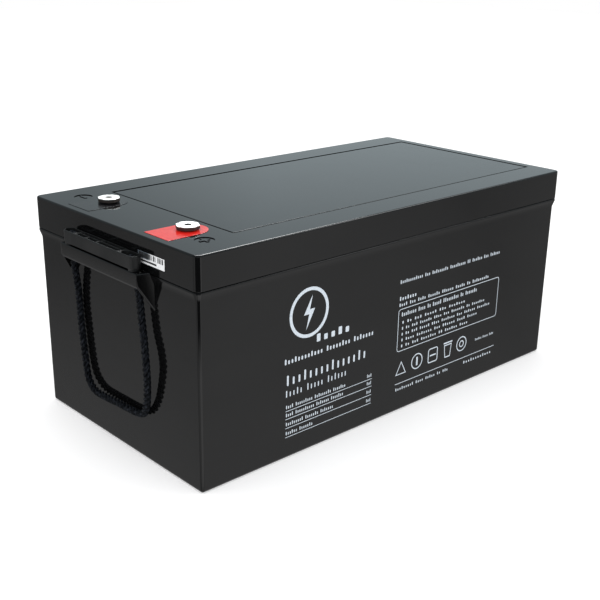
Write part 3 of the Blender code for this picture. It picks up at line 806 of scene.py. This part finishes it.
def ledge(side):
    """The hollow bracket on an end wall, bevelled, with its hollow, room for the lid and the rope holes cut
    out.
    """

    def hexahedron(front, back, half_front, half_back, top, front_bottom, back_bottom):
        bm = bmesh.new()
        bmesh.ops.create_cube(bm, size=2)
        for vert in bm.verts:
            at_front = vert.co.x < 0
            x = front if at_front else back
            half = half_front if at_front else half_back
            bottom = front_bottom if at_front else back_bottom
            z = top if vert.co.z > 0 else bottom
            vert.co = (side * x, side * (HANDLE_OFFSET + vert.co.y * half), z)
        return bm

    back = -HALF_X + 0.005
    lean = (GUSSET_BOTTOM - APRON_BOTTOM) / (-HALF_X + RIM_INSET - LEDGE_FRONT)
    half_back = LEDGE_HALF_LENGTH + LEDGE_FLARE
    gusset_back = APRON_BOTTOM + lean * (back - LEDGE_FRONT)
    outer = hexahedron(
        LEDGE_FRONT, back, LEDGE_HALF_LENGTH, half_back, LEDGE_TOP, APRON_BOTTOM, gusset_back
    )
    hollow = hexahedron(
        LEDGE_FRONT + LEDGE_WALL,
        back,
        LEDGE_HALF_LENGTH - LEDGE_WALL,
        half_back - LEDGE_WALL,
        LEDGE_TOP - LEDGE_PLATE,
        GUSSET_BOTTOM - 0.02,
        GUSSET_BOTTOM - 0.02,
    )
    room = 0.0006
    lid_room = box(
        (-HALF_X - room, -HALF_Y, BOX_TOP - room), (HALF_X + room, HALF_Y, LID_TOP)
    )
    holes = []
    for y in (ROPE_HOLE_Y, -ROPE_HOLE_Y):
        hole = skin(
            [
                (ROPE_HOLE_HALF_X, ROPE_HOLE_HALF_Y, ROPE_HOLE_HALF_X - 0.0002, z)
                for z in (LEDGE_TOP - 0.01, LEDGE_TOP + 0.01)
            ]
        )
        place = (side * HANDLE_X, side * (HANDLE_OFFSET + y), 0)
        bmesh.ops.translate(hole, vec=place, verts=hole.verts)
        holes.append(hole)
    return carved(bevelled(outer, 0.0012), [hollow, lid_room, *holes])


def container(material):
    body_inset = RIM_INSET + DRAFT
    lip = 0.0008
    rings = [ring(inset, z) for inset, z in fillet(body_inset + BASE_FILLET, 0, body_inset, BASE_FILLET, 5)]
    rings.append(ring(RIM_INSET, SEAM - RIM_BAND))
    rings.append(ring(0, BOX_TOP - 0.0022))
    rings += [ring(inset, z) for inset, z in reversed(fillet(lip, BOX_TOP, 0, BOX_TOP - lip, 3))]
    rings += [
        inner_ring(BOX_TOP, TONGUE),
        inner_ring(SEAM + TONGUE_HEIGHT, TONGUE),
        inner_ring(SEAM + TONGUE_HEIGHT),
        inner_ring(FLOOR),
    ]
    bm = carved(skin(rings), additions=[ledge(1), ledge(-1)])
    return piece("case_container", bm, material, "case", ["container"])


def polarity_signs(y, positive):
    """The raised strokes of a plus or minus sign."""
    long, short = 0.0055, 0.0012
    low, high = LID_TOP - 0.002, LID_TOP - 0.0001
    signs = [box((MARK_X - short, y - long, low), (MARK_X + short, y + long, high))]
    if positive:
        signs.append(box((MARK_X - long, y - short, low), (MARK_X + long, y + short, high)))
    return signs


def lid(material):
    skirt_inner = INNER_X + TONGUE + 0.0004
    grow = skirt_inner - INNER_X
    bottom = SEAM + GAP
    lip = 0.0006
    rings = [ring(inset, z) for inset, z in fillet(LID_FILLET, LID_TOP, 0, LID_TOP - LID_FILLET, 6)]
    rings += [ring(inset, z) for inset, z in reversed(fillet(lip, bottom, 0, bottom + lip, 3))]
    rings += [
        inner_ring(bottom, grow),
        inner_ring(SEAM + SEAL_ROOM, grow),
        inner_ring(SEAM + SEAL_ROOM, -0.0005),
        inner_ring(LID_TOP - LID_PLATE, -0.0005),
    ]
    recess = skin(
        [
            (COVER_LENGTH / 2 + COVER_GROOVE, COVER_WIDTH / 2 + COVER_GROOVE, 0.002, z)
            for z in (LID_TOP - COVER_RECESS, LID_TOP + 0.01)
        ]
    )
    bmesh.ops.translate(recess, vec=(COVER_CENTRE, 0, 0), verts=recess.verts)
    cuts = [recess]
    signs = []
    for side in (1, -1):
        centre = (TERMINAL_X, side * TERMINAL_Y)
        cuts.append(rod(centre, SHANK_RADIUS + GAP, LID_TOP - 0.02, LID_TOP + 0.01))
        cuts.append(rod(centre, SHANK_RADIUS + 0.003, LID_TOP - 0.0026, LID_TOP + 0.01))
        mark = (MARK_X, side * MARK_Y)
        cuts.append(rod(mark, MARK_RADIUS, LID_TOP - MARK_DEPTH, LID_TOP + 0.002))
        signs += polarity_signs(side * MARK_Y, side < 0)
    bm = carved(carved(skin(rings), cuts), additions=signs)
    return piece("case_lid", bm, material, "case", ["lid"])


def cover_plate(material):
    low = LID_TOP - COVER_RECESS + GAP
    high = LID_TOP - COVER_DROP
    edge = 0.0005
    half_x, half_y = COVER_LENGTH / 2, COVER_WIDTH / 2
    rings = [(half_x, half_y, 0.0015, low)]
    rings += [
        (half_x - inset, half_y - inset, 0.0015, z)
        for inset, z in reversed(fillet(edge, high, 0, high - edge, 4))
    ]
    bm = skin(rings)
    shift = Matrix.Translation((COVER_CENTRE, 0, 0))
    return piece(
        "case_cover_plate", bm, material, "case", ["lid_cover_plate"], transform=shift
    )


# Terminals ----------------------------------------------------------------------------------


def terminal(polarity, y, material):
    """The eight-sided flange on its shank, with a threaded blind hole."""
    top = TERMINAL_TOP
    flange = rod((0, 0), FLANGE_RADIUS, top - FLANGE_HEIGHT, top, 8)
    flange = bevelled(flange, 0.0005, 3)
    shank = rod((0, 0), SHANK_RADIUS, SHANK_BOTTOM, top - FLANGE_HEIGHT + 0.001)
    chamfer = 0.0002
    profile = [(0, top - THREAD_DEPTH), (THREAD_RADIUS, top - THREAD_DEPTH + 0.001)]
    z = top - THREAD_DEPTH + 0.001
    while z < top - THREAD_PITCH - chamfer:
        profile.append((THREAD_RADIUS + 0.0005, z + THREAD_PITCH / 2))
        profile.append((THREAD_RADIUS, z + THREAD_PITCH))
        z += THREAD_PITCH
    profile += [
        (THREAD_RADIUS, top - chamfer),
        (THREAD_RADIUS + chamfer, top),
        (THREAD_RADIUS + chamfer, top + 0.002),
        (0, top + 0.002),
    ]
    bm = carved(flange, [turned(profile)], [shank])
    place = Matrix.Translation((TERMINAL_X, y, 0)) @ Matrix.Rotation(FLANGE_TURN, 4, "Z")
    name = f"{polarity}_terminal"
    return piece(
        f"{name}_insert", bm, material, "case", [name], transform=place, sharp=25
    )


def polarity_tag(polarity, y, material):
    """The coloured D-shaped washer, with a rounded edge and a hole."""
    steps = 40
    outline = [(-TAG_REACH, TAG_HALF_WIDTH), (-TAG_REACH, -TAG_HALF_WIDTH)]
    for step in range(steps + 1):
        angle = math.pi * (step / steps - 0.5)
        outline.append((TAG_HALF_WIDTH * math.cos(angle), TAG_HALF_WIDTH * math.sin(angle)))
    bm = bmesh.new()
    face = bm.faces.new([bm.verts.new((x, across, 0)) for x, across in outline])
    grown = bmesh.ops.extrude_face_region(bm, geom=[face])
    moved = [item for item in grown["geom"] if isinstance(item, bmesh.types.BMVert)]
    bmesh.ops.translate(bm, vec=(0, 0, TAG_SHEET), verts=moved)
    bm = bevelled(bm, 0.0001, 2)
    bm = carved(bm, [rod((0, 0), SHANK_RADIUS + GAP, -0.01, 0.01)])
    place = Matrix.Translation((TERMINAL_X, y, LID_TOP + 0.00003))
    name = f"{polarity}_tag"
    return piece(f"{name}_washer", bm, material, "case", [name], transform=place)


# Grips --------------------------------------------------------------------------------------


def grip(prefix, side, material):
    """The hard bar: rounded ends, cored from above, with a pocket for a knot at each end."""
    half_x = GRIP_DEPTH / 2
    low = GRIP_LIFT
    high = GRIP_LIFT + GRIP_HEIGHT
    radius = half_x - 0.0002
    edge = 0.0012
    pairs = fillet(edge, low, 0, low + edge, 4)
    pairs += [(inset, z) for inset, z in reversed(fillet(edge, high, 0, high - edge, 4))]
    rings = [(half_x - i, GRIP_HALF_LENGTH - i, radius - i, z) for i, z in pairs]
    shift = Matrix.Translation((GRIP_CENTRE, 0, 0))
    bar = skin(rings, steps=12)
    bmesh.ops.transform(bar, matrix=shift, verts=bar.verts)
    floor = low + POCKET_FLOOR

    def well(half_x, half_y, corner, x, y):
        flare = 0.0003
        bm = skin(
            [
                (half_x - flare, half_y - flare, corner, floor),
                (half_x, half_y, corner, high - 0.0005),
                (half_x + 0.0004, half_y + 0.0004, corner + 0.0003, high + 0.0001),
                (half_x + 0.0004, half_y + 0.0004, corner + 0.0003, high + 0.01),
            ],
            steps=6,
        )
        bmesh.ops.translate(bm, vec=(x, y, 0), verts=bm.verts)
        return bm

    feet = []
    cuts = []
    for end in (1, -1):
        feet.append(rod((GRIP_CENTRE, end * ROPE_HALF_SPREAD), 0.0055, GAP, low + 0.002))
        corner = POCKET_HALF_X - 0.0004
        cuts.append(well(POCKET_HALF_X, POCKET_HALF_Y, corner, GRIP_CENTRE, end * POCKET_Y))
        cuts.append(rod((GRIP_HOLE_X, end * ROPE_HALF_SPREAD), GRIP_HOLE_RADIUS, -0.01, high))
    for row, y, half_y in SLOTS:
        cuts.append(well(SLOT_HALF_X, half_y, 0.0010, GRIP_CENTRE + row * SLOT_SPREAD, y))
    bm = carved(bar, cuts, feet)
    return piece(
        f"{prefix}_grip_bar",
        bm,
        material,
        f"{prefix}_handle",
        [f"{prefix}_handle_grip"],
        transform=handle_transform(side),
    )


# Printing -----------------------------------------------------------------------------------


class Print:
    """Thin shapes of ink on the front wall, in wall coordinates: x along it and z up it."""

    def __init__(self):
        self.bm = bmesh.new()

    def polygon(self, points):
        self.bm.faces.new([self.bm.verts.new((x, 0, z)) for x, z in points])

    def bar(self, left, right, low, high):
        """A rectangle with slightly rounded corners."""
        round_off = min(0.3 * (high - low), 0.3 * (right - left), 0.0006)
        corners = []
        for x, z, inward_x, inward_z in (
            (left, low, 1, 1),
            (right, low, -1, 1),
            (right, high, -1, -1),
            (left, high, 1, -1),
        ):
            first = (x + inward_x * round_off, z)
            second = (x, z + inward_z * round_off)
            corners += [first, second] if inward_x != inward_z else [second, first]
        self.polygon(corners)

    def words(self, left, right, low, high, lengths, gap=0.9, weight=0.48):
        """A line of plain blocks in groups, which fills the width. It stands in for a line of text."""
        height = high - low
        pitch = (right - left) / (sum(lengths) + gap * (len(lengths) - 1))
        margin = (1 - weight) / 2 * pitch
        x = left
        for number, length in enumerate(lengths):
            for block in range(length):
                tall = block == 0 or (2 * block + number) % 5 == 1
                top = high if tall else high - 0.28 * height
                self.bar(x + margin, x + pitch - margin, low, top)
                x += pitch
            x += gap * pitch

    def outline(self, left, right, low, high, radius, line):
        """A rounded frame."""
        middle = Vector(((left + right) / 2, (low + high) / 2))
        outer = rounded_outline((right - left) / 2, (high - low) / 2, radius, 6)
        inner = rounded_outline((right - left) / 2 - line, (high - low) / 2 - line, radius - line, 6)
        self.band([middle + p for p in outer], [middle + p for p in inner])

    def band(self, outer, inner):
        for here in range(len(outer)):
            after = (here + 1) % len(outer)
            self.polygon([outer[here], outer[after], inner[after], inner[here]])

    def circle(self, x, z, radius, line):
        steps = 40
        turns = [2 * math.pi * i / steps for i in range(steps)]
        outer = [(x + radius * math.cos(t), z + radius * math.sin(t)) for t in turns]
        inner = [
            (x + (radius - line) * math.cos(t), z + (radius - line) * math.sin(t)) for t in turns
        ]
        self.band(outer, inner)

    def loop(self, points, line):
        """A closed outline of straight strokes, drawn inwards."""
        centre = Vector((sum(p[0] for p in points), sum(p[1] for p in points))) / len(points)
        outer = [Vector(p) for p in points]
        inner = [p + (centre - p).normalized() * line for p in outer]
        self.band(outer, inner)

    def finish(self, name, material):
        grown = bmesh.ops.extrude_face_region(self.bm, geom=self.bm.faces[:])
        outer = [item for item in grown["geom"] if isinstance(item, bmesh.types.BMVert)]
        bmesh.ops.translate(self.bm, vec=(0, -PRINT_THICKNESS, 0), verts=outer)
        lean = math.atan(DRAFT / (SEAM - RIM_BAND - BASE_FILLET))
        place = Matrix.Translation((0, PRINT_Y, SEAM - RIM_BAND)) @ Matrix.Rotation(lean, 4, "X")
        place = place @ Matrix.Translation((0, 0, -(SEAM - RIM_BAND)))
        return piece(name, self.bm, material, "case", transform=place)


def front_emblem(art):
    """A bolt in a ring: a plain sign for electrical energy."""
    x, z, size = -0.1300, 0.1440, 0.0250
    art.circle(x, z, size, 0.0034)
    bolt = [(0.25, 1.0), (-0.45, -0.10), (-0.02, -0.10), (-0.25, -1.0), (0.45, 0.18), (0.03, 0.18)]
    art.polygon([(x + 0.62 * size * px, z + 0.68 * size * pz) for px, pz in bolt])


def front_text(art):
    """The rows below the emblem, with a ruled list."""
    art.words(-0.1222, -0.0740, 0.1115, 0.1195, (5,))
    art.words(-0.1612, -0.0406, 0.0985, 0.1040, (12, 8, 7))
    art.words(-0.1598, -0.0495, 0.0765, 0.0870, (15,), weight=0.30)
    art.words(-0.1598, -0.0773, 0.0648, 0.0718, (5, 5, 6), weight=0.30)
    rows = ((0.0502, (4, 9, 9, 7)), (0.0418, (4, 10, 7, 7)), (0.0322, (9, 7, 7)), (0.0226, (6, 7)))
    for z, lengths in rows:
        art.bar(-0.1586, -0.0405, z - 0.0003, z + 0.0003)
        share = 0.080 * sum(lengths) / 29
        art.words(-0.1586, -0.1586 + share, z + 0.0024, z + 0.0062, lengths)
        art.words(-0.0480, -0.0412, z + 0.0024, z + 0.0062, (4,))


def panel_text(art):
    """The framed panel with its rows, and the rows above it."""
    left, right = -0.0045, 0.1640
    art.words(left, 0.1613, 0.1440, 0.1480, (12, 3, 9, 9, 2, 6, 3, 6))
    art.words(left, 0.0225, 0.1255, 0.1300, (7,))
    art.words(left, 0.1444, 0.1190, 0.1228, (4, 3, 4, 6, 6, 5, 2, 9))
    art.outline(left, right, 0.0688, 0.1162, 0.0035, 0.0007)
    art.words(0.0000, 0.1245, 0.1075, 0.1122, (8, 4, 2, 5, 9, 2, 7))
    for z, end, lengths in (
        (0.0992, 0.105, (1, 2, 3, 5, 3, 7)),
        (0.0925, 0.140, (1, 2, 3, 6, 4, 3, 7, 2, 7)),
        (0.0860, 0.150, (1, 2, 3, 5, 4, 7, 3, 6, 7)),
        (0.0795, 0.128, (1, 4, 7, 3, 6, 4, 5)),
        (0.0728, 0.112, (1, 2, 3, 7, 2, 6, 4)),
    ):
        art.words(0.0012, end, z, z + 0.0032, lengths)


def icon_row(art):
    """Plain picture signs in place of the approval marks."""
    middle = 0.0500
    line = 0.0012
    art.loop([(-0.0045, 0.0420), (0.0120, 0.0420), (0.0038, 0.0570)], line * 1.6)
    art.circle(0.0290, middle, 0.0090, line)
    art.bar(0.0278, 0.0302, middle - 0.0050, middle + 0.0050)
    art.outline(0.0470, 0.0630, 0.0415, 0.0585, 0.0030, line)
    art.bar(0.0500, 0.0600, middle - 0.0008, middle + 0.0008)
    art.loop([(0.0735, 0.0560), (0.0755, 0.0405), (0.0845, 0.0405), (0.0865, 0.0560)], line * 1.4)
    art.bar(0.0725, 0.0875, 0.0572, 0.0588)
    art.circle(0.1040, middle, 0.0088, line)
    art.circle(0.1040, middle, 0.0040, line)
    art.words(0.1280, 0.1620, 0.0470, 0.0500, (6, 5, 4))
    art.bar(-0.0045, 0.1650, 0.0316, 0.0323)
    art.words(-0.0040, 0.0830, 0.0238, 0.0272, (9, 4, 5, 2, 3))
    art.words(0.1090, 0.1605, 0.0238, 0.0272, (12,))


def sticker(paper_material, ink_material):
    """The small label on the lid's skirt, with a row of bars and a thin line below them. Towards the grip
    the bars crowd together as painted shade.
    """
    face = -HALF_X - 0.00020
    sheet = bevelled(box((face, *LABEL_LOW), (-HALF_X - 0.00002, *LABEL_HIGH)), 0.00008, 2)
    piece("label_sheet", sheet, paper_material, "case", ["barcode_sticker"])
    bm = bmesh.new()
    raised = face - LABEL_INK
    bar_bottom, bar_top = 0.2058, LABEL_HIGH[1] - 0.0006
    y = LABEL_HIGH[0] - 0.0015
    number = 0
    while y > LABEL_LOW[0] + 0.0035:
        is_bar = number % 2 == 0
        # Painted shade: past the crowded mark the bars thicken and the gaps close, so that this end reads
        # dark.
        crowded = 1.5 if is_bar else 0.28
        width = BAR_WIDTHS[number % len(BAR_WIDTHS)] * BAR_UNIT
        if y >= LABEL_CROWDED_FROM:
            width *= crowded
        if is_bar:
            joined(bm, box((raised, y - width, bar_bottom), (face, y, bar_top)))
        y -= width
        number += 1
    line = box((raised, LABEL_LOW[0] + 0.0120, 0.2024), (face, LABEL_HIGH[0] - 0.0040, 0.2041))
    joined(bm, line)
    piece("label_bars", bm, ink_material, "case")


def joined(bm, other):
    """Add another bmesh's faces to bm."""
    mesh = bpy.data.meshes.new("joined")
    other.to_mesh(mesh)
    other.free()
    bm.from_mesh(mesh)
    bpy.data.meshes.remove(mesh)


# Setting ------------------------------------------------------------------------------------


def floor():
    bm = bmesh.new()
    bmesh.ops.create_grid(bm, x_segments=1, y_segments=1, size=6)
    made = mesh_object("floor", bm)
    made.data.materials.append(floor_paint_and_glow())


def soft_light(name, target, place, width, height, power):
    data = bpy.data.lights.new(name, "AREA")
    data.shape = "RECTANGLE"
    data.size = width
    data.size_y = height
    data.energy = power
    made = bpy.data.objects.new(name, data)
    bpy.context.scene.collection.objects.link(made)
    made.location = place
    made.rotation_mode = "QUATERNION"
    made.rotation_quaternion = (Vector(target) - Vector(place)).to_track_quat("-Z", "Y")
    return made


def surroundings():
    """A white room to look at and to light by, and a calmer, cooler backdrop in reflections."""
    world = bpy.data.worlds.new("studio")
    world.use_nodes = True
    tree = world.node_tree
    room = tree.nodes["Background"]
    room.inputs["Color"].default_value = (*ROOM, 1)
    room.inputs["Strength"].default_value = 1.0
    backdrop = tree.nodes.new("ShaderNodeBackground")
    backdrop.inputs["Color"].default_value = (*BACKDROP, 1)
    direction = tree.nodes.new("ShaderNodeTexCoord").outputs["Generated"]
    across = tree.nodes.new("ShaderNodeVectorMath")
    across.operation = "DOT_PRODUCT"
    tree.links.new(direction, across.inputs[0])
    across.inputs[1].default_value = BACKDROP_ACROSS
    fall = tree.nodes.new("ShaderNodeMapRange")
    for socket, value in zip(("From Min", "From Max", "To Min", "To Max"), BACKDROP_FALL):
        fall.inputs[socket].default_value = value
    tree.links.new(across.outputs["Value"], fall.inputs["Value"])
    tree.links.new(fall.outputs["Result"], backdrop.inputs["Strength"])
    ray = tree.nodes.new("ShaderNodeLightPath")
    mix = tree.nodes.new("ShaderNodeMixShader")
    tree.links.new(ray.outputs["Is Glossy Ray"], mix.inputs["Fac"])
    tree.links.new(room.outputs["Background"], mix.inputs[1])
    tree.links.new(backdrop.outputs["Background"], mix.inputs[2])
    tree.links.new(mix.outputs["Shader"], tree.nodes["World Output"].inputs["Surface"])
    bpy.context.scene.world = world
    bpy.context.scene.view_settings.view_transform = "Standard"
    soft_light("overhead", (0, 0, 0.1), *OVERHEAD).visible_glossy = False
    for name, settings in GLINTS.items():
        soft_light(name, (0, 0, 0.2), *settings).visible_diffuse = False


# Assembly -----------------------------------------------------------------------------------


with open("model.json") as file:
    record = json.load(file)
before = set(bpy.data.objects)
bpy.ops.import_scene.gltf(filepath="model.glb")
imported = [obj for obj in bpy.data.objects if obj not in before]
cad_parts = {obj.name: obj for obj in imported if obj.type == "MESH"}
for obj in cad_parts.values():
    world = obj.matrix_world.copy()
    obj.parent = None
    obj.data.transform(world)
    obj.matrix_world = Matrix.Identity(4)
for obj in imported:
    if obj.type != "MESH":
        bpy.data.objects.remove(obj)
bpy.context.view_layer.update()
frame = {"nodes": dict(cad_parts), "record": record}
place_camera()

fibre = rope_fibre()
rope("left", 1, fibre)
rope("right", -1, fibre)

case_black = moulded_plastic(
    "case_plastic", (0.0030, 0.0031, 0.0033), (0.0040, 0.0041, 0.0043), 0.06, ior=1.30
)
grip_black = moulded_plastic(
    "grip_plastic", (0.0060, 0.0061, 0.0064), (0.0080, 0.0081, 0.0084), 0.46, ior=1.38
)
cover_black = moulded_plastic(
    "cover_plastic", (0.0024, 0.0028, 0.0031), (0.0036, 0.0041, 0.0044), 0.12, grain=0.000005, ior=1.29
)
container(case_black)
lid(case_black)
cover_plate(cover_black)

metal = plated_metal()
tag_red = tag_plastic("tag_red", (0.72, 0.015, 0.010), (0.80, 0.025, 0.016))
tag_black = tag_plastic("tag_black", (0.003, 0.003, 0.004), (0.006, 0.006, 0.007), ior=1.30)
terminal("negative", TERMINAL_Y, metal)
terminal("positive", -TERMINAL_Y, metal)
polarity_tag("negative", TERMINAL_Y, tag_black)
polarity_tag("positive", -TERMINAL_Y, tag_red)

grip("left", 1, grip_black)
grip("right", -1, grip_black)

ink_pale = ink("print_ink", (0.58, 0.66, 0.74), (0.72, 0.78, 0.84))
for name, draw in (
    ("front_emblem", front_emblem),
    ("front_text", front_text),
    ("front_panel_text", panel_text),
    ("front_icons", icon_row),
):
    art = Print()
    draw(art)
    art.finish(name, ink_pale)
sticker(paper(), ink("label_ink", (0.012, 0.012, 0.014), (0.03, 0.03, 0.03)))

inside = {"cell_wrap": cell_wrap(), "circuit_board": circuit_board(), "foam": foam()}
for name, finish, *look in (
    ("seal_rubber", rubber, (0.012, 0.012, 0.012), (0.03, 0.03, 0.03)),
    ("insulator_sheet", ink, (0.72, 0.66, 0.45), (0.82, 0.77, 0.56)),
    ("aluminium", sheet_metal, (0.70, 0.71, 0.73), (0.80, 0.81, 0.83), (1, 0.05, 1)),
    ("tinned_copper", sheet_metal, (0.66, 0.38, 0.24), (0.76, 0.48, 0.32), (0.05, 1, 1)),
    ("cable_red", rubber, (0.50, 0.02, 0.015), (0.62, 0.04, 0.03)),
    ("cable_black", rubber, (0.012, 0.012, 0.013), (0.03, 0.03, 0.032)),
    ("strap_steel", sheet_metal, (0.55, 0.56, 0.58), (0.66, 0.67, 0.69), (0.05, 0.05, 1)),
):
    inside[name] = finish(name, *look)
slots = {row["node"]: row["material_slot"] for row in frame["record"]["subparts"]}
for name, node in frame["nodes"].items():
    if slots[name] in inside:
        node.data.materials.clear()
        node.data.materials.append(inside[slots[name]])

floor()
surroundings()
